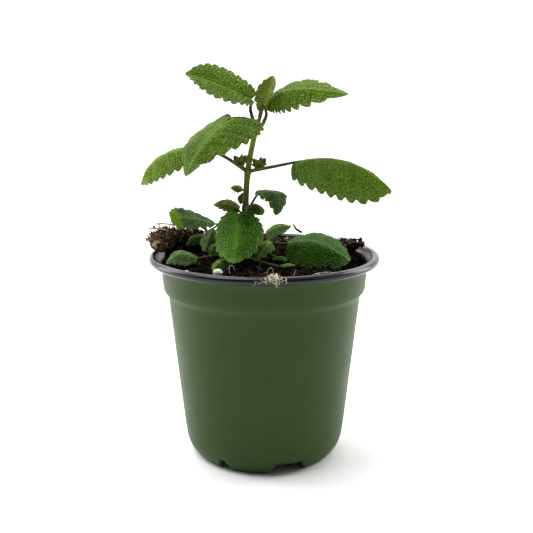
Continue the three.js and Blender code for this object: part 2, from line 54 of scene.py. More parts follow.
# ---- Pot (mm) --------------------------------------------------------------------
POT_SEGMENTS = 360
FLOOR_Z = 7.4
RIM_RADIUS, RIM_Z, RIM_BEAD = 55.0, 100.2, 2.0
POT_OUTSIDE = [
    (32.6, 0.0), (33.6, 0.0), (34.5, 0.2), (35.5, 1.1), (36.9, 2.7), (38.1, 4.5), (39.0, 6.5),
    (39.8, 9.2), (41.0, 18.2), (42.6, 33.0), (44.3, 48.8), (45.9, 64.0), (47.3, 77.0), (47.7, 81.2),
    (48.1, 82.6), (48.9, 83.7), (49.7, 84.6), (50.2, 85.9), (50.5, 89.5), (50.8, 93.0),
    (51.1, 96.2), (51.5, 97.3), (52.3, 98.0), (53.2, 98.4),
]
POT_INSIDE = [
    (52.1, 99.5), (51.0, 98.6), (50.4, 97.0), (49.9, 92.0), (49.4, 86.8), (47.2, 83.0),
    (44.8, 62.0), (42.2, 38.0), (39.0, 10.6), (37.4, 8.6), (30.0, 8.5), (0.0, 8.5),
]
POT_BASE = [(0.0, 7.4), (30.6, 7.4), (31.7, 5.2), (32.6, 0.0)]
# Drain gaps in the foot: degrees from the front towards the right, width at the ground
DRAIN_GAPS = [(-32, 14), (18.5, 32), (66, 14), (118, 16), (168, 12), (-142, 16), (-82, 14)]
DRAIN_HEIGHT = 6.3
DRAIN_SLOPE = 6.5           # degrees over which the sides of a gap rise

# ---- Potting mix (mm) ------------------------------------------------------------
SOIL_LEVEL = 98.0
SOIL_BUMPS = [
    (-43, 12, 11.5, 17, 18), (44, 20, 6, 7, 9), (45, -8, -7, 11, 16), (0, 46, 1.5, 30, 12),
    (-10.4, 0, 1, 9, 9), (-18, -42, 2.2, 26, 9),
]
SOIL_EDGE = 49.3
MAT_CENTRE = (-50.3, 8.0, 106.4)
MAT_SIZE = (6.6, 17.5, 4.6)
TUFT_CENTRE = (4.0, -55.4, 103.2)
# Heaps of lumps: centre, spread, how many
MOUNDS = [((-41, 13, 109.3), (6.0, 4.0, 1.5), 300), ((43.5, 15, 103.8), (3.2, 3.0, 1.3), 130),
          ((2, 44, 99.5), (16, 2.5, 0.9), 90)]
ROOT_LOOPS = [
    [(-15.6, -36, 99.2), (-16, -36.5, 102.6), (-14.4, -37, 103.6), (-13.4, -37, 101)],
    [(1, -37, 98.6), (1.6, -38, 101.4), (3.2, -38.4, 102.8), (4.4, -38, 100.4)],
    [(13, -41, 98.8), (13.8, -41.6, 101.2), (14.4, -42, 102.6)],
    [(22, -36, 98.8), (25, -37, 100), (29, -36.4, 100.3), (33, -35, 99.8)],
    [(-2, -44, 98.6), (0, -44.6, 99.8), (3, -45, 99.6), (6, -44.4, 99.2)],
]

# ---- Stem and leaves (mm, degrees) -----------------------------------------------
STEM_POINTS = [(-10.4, 0, 99.3), (-9.4, 0, 122), (-8.2, 0, 141), (-5.6, 0, 156), (-2.8, 0, 166.3)]
BLADE = 0.32
CELL = 1.55           # size of the puckers between the small veins
LARGE_LEAF = 20
LEAVES = {
    "top_left": dict(
        base=(-6.6, 1.5, 177.2), tip=(-37.4, -3, 188.8), width=21.89, arch=1.48,
        peak=0.63, roll=-37.34, fold=(-14.6, -20.7), curl=(19.9, 23.1), lobe=0.16,
        shape=(0.509, 0.62, 0.797), teeth=13, tooth=0.05, stalk=(-4.6, 0, 164.5), bend=(-6.6, 1, 172),
    ),
    "top_right": dict(
        base=(0.4, 4.6, 174.3), tip=(39.5, -12, 179.6), width=22.78, arch=6.26,
        peak=0.27, roll=23.86, fold=(1.8, 25.6), curl=(9.8, 39.7), lobe=0.01,
        shape=(0.341, 0.475, 0.828), teeth=12, tooth=0.055, stalk=(-1.2, 0.8, 164.3), bend=(0.9, 2.8, 169.5),
    ),
    "top_centre": dict(
        base=(0, -3.2, 174.8), tip=(4.1, 1, 188.1), width=13.29, arch=-0.35,
        peak=0.65, roll=-8.07, fold=(-17.6, -13.6), curl=(-4.8, -7.5), lobe=0.27,
        shape=(0.559, 0.635, 0.756), teeth=7, stalk=(-3, -1.3, 164.3), bend=(-1.6, -2.6, 169.5),
    ),
    "mid_front": dict(
        base=(-15.3, -12, 168.7), tip=(-35.5, -32, 143.4), width=38.55, arch=3.84,
        peak=0.48, roll=-3.94, fold=(6, 1.7), curl=(25.5, 34.3), lobe=0.43,
        shape=(0.681, 0.434, 0.579), teeth=11, tooth=0.06, stalk=(-4, -1.2, 162), bend=(-9, -6, 167.5),
    ),
    "mid_left": dict(
        base=(-32.2, -1, 154.8), tip=(-60.4, 1, 136.1), width=23.46, arch=6.09,
        peak=0.62, roll=-9.77, fold=(26.7, 12.3), curl=(16.5, 10.3), lobe=0.22,
        shape=(0.604, 0.905, 0.879), teeth=11, tooth=0.06, stalk=(-8.4, 0, 142.5), bend=(-20, 1, 150),
    ),
    "mid_right": dict(
        base=(15.2, 2, 147), tip=(58.6, -19.5, 136.6), width=36.42, arch=7.08,
        peak=0.52, roll=3.24, fold=(22, 40.9), curl=(21.5, 17.4), lobe=0.2,
        shape=(0.672, 1.2, 0.72), teeth=11, tooth=0.05, stalk=(-8, 0, 142.5), bend=(5, 1.5, 144.9),
    ),
    "drooping": dict(
        base=(-0.6, 4, 132.7), tip=(5.8, -2, 121.1), width=14.75, arch=7.54,
        peak=0.63, roll=4.8, fold=(8.2, 1.9), curl=(13.1, 34.4), lobe=0.24,
        shape=(0.611, 0.758, 0.681), teeth=6, stalk=(-9, 1, 121.5), bend=(-4, 3, 130),
    ),
    "node_left": dict(
        base=(-10.9, 3.6, 133), tip=(-16.9, 6.6, 133.6), width=6.8, arch=1.8, peak=0.4, roll=-23,
        fold=(12, 28), curl=(9, 13), lobe=0.15, teeth=6, stalk=(-8.9, 1, 130), bend=(-9.5, 2.6, 132.5),
    ),
    "node_low": dict(
        base=(-10.6, 6.5, 131), tip=(-11.8, 8, 125), width=5, arch=1.2, peak=0.5, roll=0,
        fold=(15, 21), curl=(10, 13), lobe=0.15, teeth=5, stalk=(-9, 1.5, 127.5), bend=(-9.6, 4.5, 131),
    ),
    "low_left": dict(
        base=(-12.7, 1.4, 123.7), tip=(-25.2, 2.4, 125.7), width=9.27, arch=2.2,
        peak=0.37, roll=-27.5, fold=(12.9, 1.8), curl=(3.3, 23.5), lobe=0.14,
        shape=(0.567, 0.64, 0.816), teeth=8, stalk=(-9.8, 0.3, 121.5), bend=(-12, 1, 122.5),
    ),
    "centre_top": dict(
        base=(-8.4, -4.5, 126.1), tip=(-1.2, -11.5, 122.7), width=9.79, arch=3.32,
        peak=0.54, roll=-0.45, fold=(15.5, 29.8), curl=(21.7, 16.3), lobe=0.03,
        shape=(0.801, 0.863, 0.984), teeth=6, stalk=(-9, -0.5, 121), bend=(-8.2, -3, 124),
    ),
    "centre": dict(
        base=(-11.9, -7, 122.5), tip=(-14.2, -34, 103.8), width=25.9, arch=-0.17,
        peak=0.47, roll=0.18, fold=(13.2, 14.1), curl=(35.9, 29.7), lobe=0.36,
        shape=(0.584, 0.574, 0.739), teeth=10, tooth=0.055, stalk=(-10.1, -0.8, 116), bend=(-11, -4, 120),
    ),
    "left_grey": dict(
        base=(-25.5, 0, 114.4), tip=(-29.2, -11, 104.6), width=15.31, arch=1.46,
        peak=0.37, roll=-23, fold=(31.5, 46.7), curl=(24.8, 23.4), lobe=0.04,
        shape=(0.42, 0.577, 0.643), teeth=7, stalk=(-10.6, 0, 112), bend=(-17, 2, 118),
    ),
    "left_back": dict(
        base=(-25.5, 11, 115.1), tip=(-46.3, 0, 119.4), width=16.35, arch=2.03,
        peak=0.74, roll=-37.58, fold=(-0.9, 10.1), curl=(8, 8.5), lobe=0,
        shape=(0.342, 1.117, 0.837), teeth=9, stalk=(-10.4, 1, 109), bend=(-17, 8, 113),
    ),
    "left_small": dict(
        base=(-29.9, 5, 109.6), tip=(-38.5, 0, 105.9), width=7.56, arch=1.79,
        peak=0.41, roll=-27.44, fold=(19.5, 15.6), curl=(9.4, 13.4), lobe=0.13,
        shape=(0.544, 0.677, 0.72), teeth=7, stalk=(-11.5, 1, 104.5), bend=(-20, 4, 108),
    ),
    "left_soil": dict(
        base=(-32.1, -21, 103.7), tip=(-46.2, -23.4, 101.5), width=13.39, arch=3.82,
        peak=0.51, roll=-12.56, fold=(24, 3.6), curl=(7.7, 22.5), lobe=0.08,
        shape=(0.476, 0.584, 0.835), teeth=9, stalk=(-11.6, -1, 102.5), bend=(-24, -16, 104),
    ),
    "inner_dark": dict(
        base=(-20.6, -10, 108.3), tip=(-26.4, -13.5, 102.6), width=6.5, arch=2.4, peak=0.5, roll=-13,
        fold=(28, 13), curl=(14, 9), lobe=0.15, teeth=5, stalk=(-11.3, -1, 106.5), bend=(-16, -6, 109),
    ),
    "front_low": dict(
        base=(-16.8, -22, 103.2), tip=(-23.7, -33, 100.5), width=10.95, arch=1.77,
        peak=0.33, roll=-11.41, fold=(50, 21.9), curl=(14.9, 9.5), lobe=0.1,
        shape=(0.224, 0.762, 0.549), teeth=6, stalk=(-10.8, -1.4, 101.2), bend=(-13.5, -13, 103.5),
    ),
    "right_inner": dict(
        base=(3.2, -2, 107), tip=(-4.9, -19.5, 102.1), width=10.91, arch=4.4,
        peak=0.33, roll=-33.58, fold=(30.1, 24.2), curl=(5.5, 23.6), lobe=0.37,
        shape=(0.445, 0.805, 0.548), teeth=7, stalk=(-9.4, 1, 108.5), bend=(-1, 2, 110),
    ),
    "right_back": dict(
        base=(0.9, 22, 107.9), tip=(14, 23, 111.5), width=12.46, arch=2.21,
        peak=0.37, roll=31.15, fold=(22.4, 5.3), curl=(18.9, -7.1), lobe=0.18,
        shape=(0.671, 0.576, 0.815), teeth=8, stalk=(-9.6, 1.5, 103.5), bend=(-3, 18, 104),
    ),
    "right_big": dict(
        base=(11.8, -3, 107.3), tip=(41.2, -11, 100.1), width=27.66, arch=4.76,
        peak=0.45, roll=2.06, fold=(-2.5, 34.3), curl=(4.7, 26.9), lobe=0.27,
        shape=(0.717, 1.02, 0.84), teeth=11, tooth=0.05, stalk=(-9.2, 0.5, 104), bend=(2, 1.8, 106.6),
    ),
    "right_dark": dict(
        base=(6, -7, 101.2), tip=(10.6, -15, 100.7), width=5.6, arch=1.2, peak=0.5, roll=5,
        fold=(15, 15), curl=(12, 12), lobe=0.15, teeth=5, stalk=(-9, -1, 100.9), bend=(2, -1.4, 101.6),
    ),
    "right_thin": dict(
        base=(7.9, -29, 101.6), tip=(14.5, -27.5, 101.4), width=4.5, arch=0.8, peak=0.5, roll=2,
        fold=(13, 13), curl=(11, 10), lobe=0.1, teeth=5, stalk=(-9.4, -1.6, 100.4), bend=(3, -24, 101.4),
    ),
}
# Colours: upper face, its darker patches, vein lines, painted sheen (pale glints and a paler margin),
# underside; then the export slot
GREEN = dict(top=(0.105, 0.205, 0.005), deep=(0.062, 0.136, 0.003), vein=(0.17, 0.27, 0.04),
             pale=(0.18, 0.27, 0.06), back=(0.10, 0.15, 0.04), slot="leaf_green")
BRIGHT = dict(top=(0.150, 0.265, 0.010), deep=(0.092, 0.180, 0.006), vein=(0.22, 0.32, 0.06),
              pale=(0.25, 0.34, 0.10), back=(0.13, 0.18, 0.05), slot="leaf_green")
LUSH = dict(top=(0.085, 0.245, 0.004), deep=(0.044, 0.140, 0.002), vein=(0.14, 0.28, 0.03),
            pale=(0.15, 0.28, 0.05), back=(0.08, 0.15, 0.03), slot="leaf_green")
DEEP = dict(top=(0.050, 0.165, 0.003), deep=(0.026, 0.092, 0.002), vein=(0.12, 0.23, 0.04),
            pale=(0.12, 0.22, 0.05), back=(0.07, 0.12, 0.03), slot="leaf_dark")
DARK = dict(top=(0.045, 0.125, 0.004), deep=(0.022, 0.070, 0.002), vein=(0.10, 0.18, 0.03),
            pale=(0.10, 0.18, 0.04), back=(0.06, 0.10, 0.03), slot="leaf_dark")
GREY = dict(top=(0.062, 0.140, 0.016), deep=(0.030, 0.082, 0.008), vein=(0.16, 0.25, 0.09),
            pale=(0.18, 0.26, 0.12), back=(0.12, 0.18, 0.09), slot="leaf_grey")
YOUNG = dict(top=(0.145, 0.200, 0.006), deep=(0.070, 0.110, 0.003), vein=(0.20, 0.25, 0.04),
             pale=(0.20, 0.25, 0.05), back=(0.10, 0.13, 0.03), slot="leaf_young")
# A grey leaf whose end is painted bright yellow-green: painted light shining through the curled tip
GREY_BACKLIT_TIP = dict(GREY, end=(0.17, 0.33, 0.002))
# Bud leaves: start from the stalk's end (mm), direction, length, width, roll
APEX_BUDS = [
    ((0, 0, 0), (-0.5, -0.4, 1), 4.2, 2.6, 0), ((0, 0, 0), (0.5, -0.3, 1), 4.4, 2.6, 0),
]
SHOOT_BUDS = [
    ((0.3, 0.6, 0), (-0.75, 0.1, 0.75), 5.2, 5.0, -30), ((-0.3, 0.6, 0), (0.75, 0.1, 0.8), 5.4, 5.0, 30),
    ((0, -0.4, -0.4), (-0.9, -0.45, 0.35), 4.4, 4.4, -20), ((0, -0.4, -0.4), (0.9, -0.4, 0.45), 4.6, 4.4, 20),
    ((0, -0.9, 0.2), (-0.15, -0.55, 1), 3.6, 3.6, 0), ((0, 0, 0.6), (0.25, 0.1, 1), 4.4, 3.4, 0),
]
APEX_STALK = [(-2.6, 0, 166.4), (-2.4, 1, 169.5), (-2.0, 1.4, 171.5)]
SHOOT_STALKS = {
    "shoot_left": [(-9, -1.9, 142.6), (-10.2, -2.6, 144.8), (-11.6, -2.8, 146.6)],
    "shoot_right": [(-6.6, -1.9, 142.6), (-4.6, -2.6, 143.8), (-2.4, -2.8, 145.2)],
}
PERLITE_COUNT = 6
# Bark slivers: start, end, width; all of one thickness
SLIVERS = {
    "bark_sliver_1": ((-58.5, 4, 113.7), (-47, 1, 113), 1.8),
    "bark_sliver_2": ((-56, 14, 114.3), (-44, 12, 113.8), 1.4),
}
SLIVER_THICK = 0.7
TWIG_PATH = [(20.5, 50, 103.5), (17.5, 49, 105.5), (15.8, 48, 108.3)]
TWIG_RADII = (0.75, 0.45)
# Upper leaves take the lighter BRIGHT colours and the inner, back and lower leaves the darker DEEP and DARK
# ones: painted light and shade
STYLES = {
    "top_left": BRIGHT, "top_right": BRIGHT, "mid_left": BRIGHT, "centre": LUSH, "right_big": DEEP,
    "top_centre": YOUNG, "low_left": YOUNG, "node_left": YOUNG, "node_low": YOUNG, "left_grey": GREY,
    "left_back": GREY_BACKLIT_TIP, "left_small": GREY, "left_soil": GREY, "drooping": GREY, "inner_dark": DARK,
    "right_dark": DARK, "right_back": DARK, "centre_top": DARK,
}


# ---- Mesh helpers ----------------------------------------------------------------
def unit(v):
    v = np.asarray(v, float)
    return v / np.linalg.norm(v, axis=-1, keepdims=True)


def turned(v, axis, angle):
    """v turned about a unit axis (angle in radians)."""
    c, s = math.cos(angle), math.sin(angle)
    return v * c + np.cross(axis, v) * s + axis * np.dot(axis, v) * (1 - c)


def merge(parts):
    """Joins (points, faces, attributes) triples into one."""
    points, faces, attributes, start = [], [], {}, 0
    names = sorted({n for _, _, a in parts for n in a})
    for p, f, a in parts:
        points.append(p)
        faces.extend([tuple(i + start for i in face) for face in f])
        for n in names:
            attributes.setdefault(n, []).append(np.broadcast_to(a.get(n, 0.0), (len(p),)))
        start += len(p)
    return np.concatenate(points), faces, {n: np.concatenate(v) for n, v in attributes.items()}


def make(name, points, faces, attributes, material, nodes, smooth=True):
    mesh = bpy.data.meshes.new(name)
    mesh.from_pydata((np.asarray(points) * MM).tolist(), [], faces)
    for key, values in attributes.items():
        layer = mesh.attributes.new(key, "FLOAT", "POINT")
        values = np.broadcast_to(np.asarray(values, np.float32), (len(mesh.vertices),))
        layer.data.foreach_set("value", np.ascontiguousarray(values))
    mesh.polygons.foreach_set("use_smooth", [smooth] * len(mesh.polygons))
    mesh.materials.append(material)
    mesh.update()
    obj = bpy.data.objects.new(name, mesh)
    bpy.context.scene.collection.objects.link(obj)
    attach(obj, "root")
    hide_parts(*nodes)
    return obj


def grid_faces(rows, columns, start=0, wrap=False):
    """Quads of a rows by columns grid of points, joined round the columns when wrap is set."""
    faces = []
    last = columns if wrap else columns - 1
    for i in range(rows - 1):
        for j in range(last):
            a = start + i * columns + j
            b = start + i * columns + (j + 1) % columns
            faces.append((a, b, b + columns, a + columns))
    return faces


def smooth_path(points, count):
    """Catmull-Rom curve through points, sampled evenly in parameter."""
    p = np.asarray(points, float)
    p = np.vstack([2 * p[0] - p[1], p, 2 * p[-1] - p[-2]])
    t = np.linspace(0, len(p) - 3 - 1e-9, count)
    i = t.astype(int)
    f = (t - i)[:, None]
    a, b, c, d = p[i], p[i + 1], p[i + 2], p[i + 3]
    return 0.5 * (2 * b + (c - a) * f + (2 * a - 5 * b + 4 * c - d) * f**2 + (3 * b - a - 3 * c + d) * f**3)


def sweep(path, radii, outline):
    """Closed tube along a path. outline gives the cross-section for radius 1; radii one per point."""
    path = np.asarray(path, float)
    ahead = unit(np.gradient(path, axis=0))
    side = np.cross(ahead, np.array([0.0, 1.0, 0.0]))
    weak = np.linalg.norm(side, axis=1) < 0.2
    side[weak] = np.cross(ahead[weak], UP)
    side = unit(side)
    other = np.cross(ahead, side)
    ring = np.asarray(outline, float)
    section = ring[None, :, :1] * side[:, None, :] + ring[None, :, 1:] * other[:, None, :]
    points = path[:, None, :] + radii[:, None, None] * section
    rows, columns = len(path), len(ring)
    faces = grid_faces(rows, columns, wrap=True)
    faces.append(tuple(reversed(range(columns))))
    faces.append(tuple((rows - 1) * columns + j for j in range(columns)))
    return points.reshape(-1, 3), faces


def round_outline(sides):
    a = np.linspace(0, 2 * math.pi, sides, endpoint=False)
    return np.stack([np.cos(a), np.sin(a)], 1)


def square_outline(sides, power=3.4, groove=0.06):
    """Four-sided stem section with rounded corners and slightly hollow sides."""
    a = np.linspace(0, 2 * math.pi, sides, endpoint=False)
    r = (np.abs(np.cos(a)) ** power + np.abs(np.sin(a)) ** power) ** (-1 / power)
    r *= 1 - groove * np.cos(2 * a) ** 2
    return np.stack([r * np.cos(a), r * np.sin(a)], 1)


def waves(x, y, seed, octaves=4, scale=1.0):
    """Soft seeded bumps made of turned sine waves."""
    rng = np.random.default_rng(seed)
    total, size = np.zeros(np.shape(x)), 1.0
    for octave in range(octaves):
        for _ in range(3):
            angle, phase = rng.uniform(0, 2 * math.pi, 2)
            f = scale * 2**octave * rng.uniform(0.8, 1.25)
            total = total + size * np.sin(f * (x * math.cos(angle) + y * math.sin(angle)) + phase)
        size *= 0.55
    return total / 3


# ---- Leaves ----------------------------------------------------------------------
class Leaf:
    def __init__(self, base, tip, width, arch=2, peak=0.5, roll=0, fold=(15, 15), curl=(15, 15),
                 lobe=0.2, shape=(0.62, 0.6, 0.76), teeth=8, tooth=0.07, stalk=None, bend=None, seed=0):
        self.base, self.tip = np.array(base, float), np.array(tip, float)
        self.width, self.lobe, self.shape, self.teeth, self.tooth = width, lobe, shape, teeth, tooth
        self.fold, self.curl = np.radians(fold), np.radians(curl)
        self.stalk, self.bend, self.seed = stalk, bend, seed
        axis = unit(self.tip - self.base)
        across = unit(np.cross(axis, UP))
        self.across = turned(across, axis, math.radians(roll))
        normal = np.cross(self.across, axis)
        self.control = self.base + (self.tip - self.base) * peak + 2 * arch * normal
        steps = self.midrib(np.linspace(0, 1, 50))
        self.length = np.linalg.norm(np.diff(steps, axis=0), axis=1).sum()

    def midrib(self, u):
        t = np.maximum(u, 0)[..., None]
        point = (1 - t) ** 2 * self.base + 2 * t * (1 - t) * self.control + t * t * self.tip
        return point + 2 * np.minimum(u, 0)[..., None] * (self.control - self.base)

    def tangent(self, u):
        t = np.clip(u, 0, 1)[..., None]
        return unit((1 - t) * (self.control - self.base) + t * (self.tip - self.control))

    def count(self, k):
        """How many teeth lie between the base and a point on the margin."""
        return self.teeth * (k + 0.022 * np.sin(2 * math.pi * k) * math.sin(3.1 * self.seed + 1))

    def margin(self, k):
        """The toothed outline of one half: share of the length, and mm out from the midrib."""
        out0, along1, out1 = self.shape

        def curve(k, m):
            return np.stack([
                -3 * m * m * k * self.lobe + 3 * m * k * k * along1 + k**3,
                3 * m * m * k * out0 * self.width + 3 * m * k * k * out1 * self.width,
            ], -1)

        edge = curve(k, 1 - k)
        near, far = np.clip(k - 1e-3, 0, 1), np.clip(k + 1e-3, 0, 1)
        run = (curve(far, 1 - far) - curve(near, 1 - near)) * np.array([self.length, 1])
        run = run / (np.linalg.norm(run, axis=-1, keepdims=True) + 1e-9)
        outward = np.stack([-run[..., 1], run[..., 0]], -1)
        phase = np.clip(self.count(k) % 1.0, 1e-6, 1 - 1e-6)
        rise = np.sin(np.minimum(phase / 0.64, 1) * math.pi / 2) ** 0.7
        fall = np.cos(np.clip((phase - 0.64) / 0.36, 0, 1) * math.pi / 2) ** 0.9
        height = np.where(phase < 0.64, rise, fall)
        size = self.tooth * self.length * np.clip(k * 6, 0, 1) * np.clip((1 - k) * 5, 0.3, 1)
        step = ((height - 0.45) * size)[..., None] * outward + (0.35 * height * size)[..., None] * run
        return edge + step * np.array([1 / self.length, 1]) * (k < 1)[..., None] * (k > 0)[..., None]

    def place(self, along, out, side, lift):
        """Points and normals of the folded, arched blade at (share along, mm out)."""
        tangent = self.tangent(along)
        across = self.across - np.sum(self.across * tangent, -1, keepdims=True) * tangent
        across = unit(across)
        normal = np.cross(across, tangent)
        i = 0 if side < 0 else 1
        fold, curl, half = self.fold[i], self.curl[i], self.width / 2
        curl = curl if abs(curl) > 1e-6 else 1e-3
        angle = fold + curl * out / half
        reach = half * (np.sin(angle) - math.sin(fold)) / curl
        drop = half * (math.cos(fold) - np.cos(angle)) / curl
        point = self.midrib(along) + (side * reach)[..., None] * across - drop[..., None] * normal
        lean = angle * np.clip(out / (0.03 * self.width), 0, 1)
        facing = (side * np.sin(lean))[..., None] * across + np.cos(lean)[..., None] * normal
        return point + lift[..., None] * facing, facing


def cell_distances(x, y, size, seed):
    """Distances to the nearest and second nearest of many jittered cell centres, in cell sizes."""
    table = np.random.default_rng(seed).uniform(0.08, 0.92, (64, 64, 2))
    x, y = x / size, y / size
    column, row = np.floor(x).astype(int), np.floor(y).astype(int)
    first = np.full(x.shape, 9.0)
    second = np.full(x.shape, 9.0)
    for i in (-1, 0, 1):
        for j in (-1, 0, 1):
            jitter = table[(column + i) % 64, (row + j) % 64]
            away = np.hypot(column + i + jitter[..., 0] - x, row + j + jitter[..., 1] - y)
            second = np.minimum(second, np.maximum(first, away))
            first = np.minimum(first, away)
    return first, second


def quilt(leaf, k, q, along, out, side):
    """Height of the puckered upper face in mm, then how deep in a crease and how far on a vein."""
    span = leaf.width / 2
    count = leaf.count(k)
    phase = (count / 2 + 0.04 * np.sin(9 * q + side)) % 1.0
    gap = np.minimum(phase, 1 - phase) * leaf.length * 1.6 / leaf.teeth * 2 * (0.35 + 0.65 * q)
    x, y = along * leaf.length, out * (1 + 0.06 * np.sin(along * 20 + side))
    cell = CELL if leaf.width > LARGE_LEAF else 0.72 * CELL
    first, second = cell_distances(x + 0.4 * y, y + 40 * (side > 0), cell, 900 + leaf.seed)
    border = np.clip((second - first) / 0.42, 0, 1)
    crease = 1 - border * border * (3 - 2 * border)
    pucker = (1 - crease) * (1 - 0.5 * first**2)
    inner = np.clip(5 * q, 0, 1)
    envelope = inner * np.clip(8 * k, 0.2, 1) * np.clip((1 - k) * 6, 0.15, 1)
    billow = np.sin(math.pi * phase) ** 0.7
    big = 0.016 * leaf.length * (billow - 0.5) * (1 - 0.45 * q**2)
    small = 0.40 * cell * (pucker - 0.4)
    fine = 0.06 * waves(x, y, 5 + leaf.seed, 3, 3.2)
    rib = np.exp(-((out / 0.34) ** 2))
    height = (big + small) * envelope + fine * inner - 0.011 * leaf.length * rib * np.clip(1 - k, 0.1, 1)
    vein = np.maximum(np.exp(-((gap / 0.3) ** 2)) * (1 - 0.25 * q), rib)
    return height, crease * inner, vein


def blade_part(leaf, detail):
    """Thin closed shell of the blade, with its vein, crease, under and edge attributes."""
    rows = int(leaf.teeth * (14 if detail else 9)) + 1
    columns = 40 if detail else 17
    k = np.linspace(0, 1, rows)[:, None] * np.ones((1, columns))
    q = np.linspace(0, 1, columns)[None, :] * np.ones((rows, 1))
    edge = leaf.margin(k)
    start = np.clip((k - 0.18) / 0.82, 0, 1) ** 1.1
    along = start * (1 - q) + edge[..., 0] * q - 0.045 * np.sin(math.pi * q) * np.sin(math.pi * k)
    out = edge[..., 1] * q
    parts = []
    for side in (-1, 1):
        height, crease, vein = quilt(leaf, k, q, along, out, side)
        ripple = 0.014 * leaf.length * np.sin(k * 9 + 2.1 * leaf.seed + side) * q**2
        lift = (height + ripple) * np.clip((1 - k) * 12, 0, 1)
        top, _ = leaf.place(along, out, side, lift + BLADE / 2)
        low, _ = leaf.place(along, out, side, lift - BLADE / 2)
        points = np.concatenate([top.reshape(-1, 3), low.reshape(-1, 3)])
        count = rows * columns
        faces = grid_faces(rows, columns)
        under = [tuple(reversed([i + count for i in f])) for f in faces]
        rim = [(i * columns + columns - 1, (i + 1) * columns - 1 + columns,
                (i + 1) * columns - 1 + columns + count, i * columns + columns - 1 + count)
               for i in range(rows - 1)]
        faces = faces + under + [tuple(reversed(f)) for f in rim]
        if side > 0:
            faces = [tuple(reversed(f)) for f in faces]
        values = {"vein": vein, "crease": crease, "edge": q, "along": along}
        attributes = {name: np.concatenate([v.reshape(-1)] * 2) for name, v in values.items()}
        attributes["under"] = np.repeat([0.0, 1.0], count)
        parts.append((points, faces, attributes))
    return merge(parts)


def petiole_part(leaf, radius):
    end = leaf.midrib(np.array([0.22]))[0]
    path = smooth_path([leaf.stalk, leaf.bend, leaf.base, end], 26)
    taper = np.linspace(1.15, 0.5, 26) * radius
    taper[-4:] *= (0.9, 0.75, 0.5, 0.25)
    low = leaf.place(np.array([0.1]), np.array([0.0]), 1, np.array([0.0]))[1][0]
    path = path - low * np.linspace(0, 0.28, 26)[:, None]
    points, faces = sweep(path, taper, round_outline(12))
    return points, faces, {"stalk": 1.0}


def build_leaf(name, spec, seed):
    style = STYLES.get(name, GREEN)
    leaf = Leaf(seed=seed, **spec)
    large = leaf.width > LARGE_LEAF
    parts = [blade_part(leaf, large), petiole_part(leaf, 0.85 if large else 0.6)]
    points, faces, attributes = merge(parts)
    material = leaf_material("leaf_" + name, style, seed)
    node = "leaf_" + name
    make(node + "_look", points, faces, attributes, material, [node])


# ---- Materials -------------------------------------------------------------------
class Nodes:
    """Small builder for one material's node tree."""

    def __init__(self, name):
        self.material = bpy.data.materials.new(name)
        self.material.use_nodes = True
        self.tree = self.material.node_tree
        self.shader = self.tree.nodes["Principled BSDF"]

    def add(self, kind, **values):
        node = self.tree.nodes.new(kind)
        for key, value in values.items():
            setattr(node, key, value)
        return node

    def link(self, source, target):
        self.tree.links.new(source, target)

    def attribute(self, name):
        return self.add("ShaderNodeAttribute", attribute_name=name).outputs["Fac"]

    def place(self):
        return self.add("ShaderNodeTexCoord").outputs["Object"]

    def noise(self, scale, detail=4.0, roughness=0.55, distortion=0.0):
        node = self.add("ShaderNodeTexNoise")
        node.inputs["Scale"].default_value = scale
        node.inputs["Detail"].default_value = detail
        node.inputs["Roughness"].default_value = roughness
        node.inputs["Distortion"].default_value = distortion
        self.link(self.place(), node.inputs["Vector"])
        return node.outputs["Fac"]

    def cells(self, scale, feature="F1"):
        node = self.add("ShaderNodeTexVoronoi", feature=feature)
        node.inputs["Scale"].default_value = scale
        self.link(self.place(), node.inputs["Vector"])
        return node

    def ramp(self, source, stops):
        node = self.add("ShaderNodeValToRGB")
        ramp = node.color_ramp
        while len(ramp.elements) < len(stops):
            ramp.elements.new(0.5)
        for element, (position, value) in zip(ramp.elements, stops):
            element.position = position
            element.color = (*value, 1.0) if len(value) == 3 else value
        self.link(source, node.inputs["Fac"])
        return node.outputs["Color"]

    def span(self, source, low, high, to_low=0.0, to_high=1.0):
        node = self.add("ShaderNodeMapRange")
        for key, value in zip(("From Min", "From Max", "To Min", "To Max"), (low, high, to_low, to_high)):
            node.inputs[key].default_value = value
        self.link(source, node.inputs["Value"])
        return node.outputs["Result"]

    def blend(self, factor, a, b, mode="MIX"):
        node = self.add("ShaderNodeMix", data_type="RGBA", blend_type=mode)
        sockets = [node.inputs[0], node.inputs[6], node.inputs[7]]
        for socket, value in zip(sockets, (factor, a, b)):
            if isinstance(value, bpy.types.NodeSocket):
                self.link(value, socket)
            elif isinstance(value, (int, float)):
                socket.default_value = value
            else:
                socket.default_value = (*value, 1.0)
        return node.outputs[2]

    def math(self, operation, a, b):
        node = self.add("ShaderNodeMath", operation=operation)
        for socket, value in zip(node.inputs, (a, b)):
            if isinstance(value, bpy.types.NodeSocket):
                self.link(value, socket)
            else:
                socket.default_value = value
        return node.outputs[0]

    def bump(self, height, strength, distance):
        node = self.add("ShaderNodeBump")
        node.inputs["Strength"].default_value = strength
        node.inputs["Distance"].default_value = distance
        self.link(height, node.inputs["Height"])
        self.link(node.outputs["Normal"], self.shader.inputs["Normal"])

    def set(self, **values):
        names = {
            "colour": "Base Color", "roughness": "Roughness", "sheen": "Sheen Weight",
            "sheen_roughness": "Sheen Roughness", "specular": "Specular IOR Level",
            "subsurface": "Subsurface Weight", "radius": "Subsurface Radius", "scale": "Subsurface Scale",
        }
        for key, value in values.items():
            socket = self.shader.inputs[names[key]]
            if isinstance(value, bpy.types.NodeSocket):
                self.link(value, socket)
            elif isinstance(value, tuple) and len(value) == 3 and socket.type == "RGBA":
                socket.default_value = (*value, 1.0)
            else:
                socket.default_value = value
        return self.material


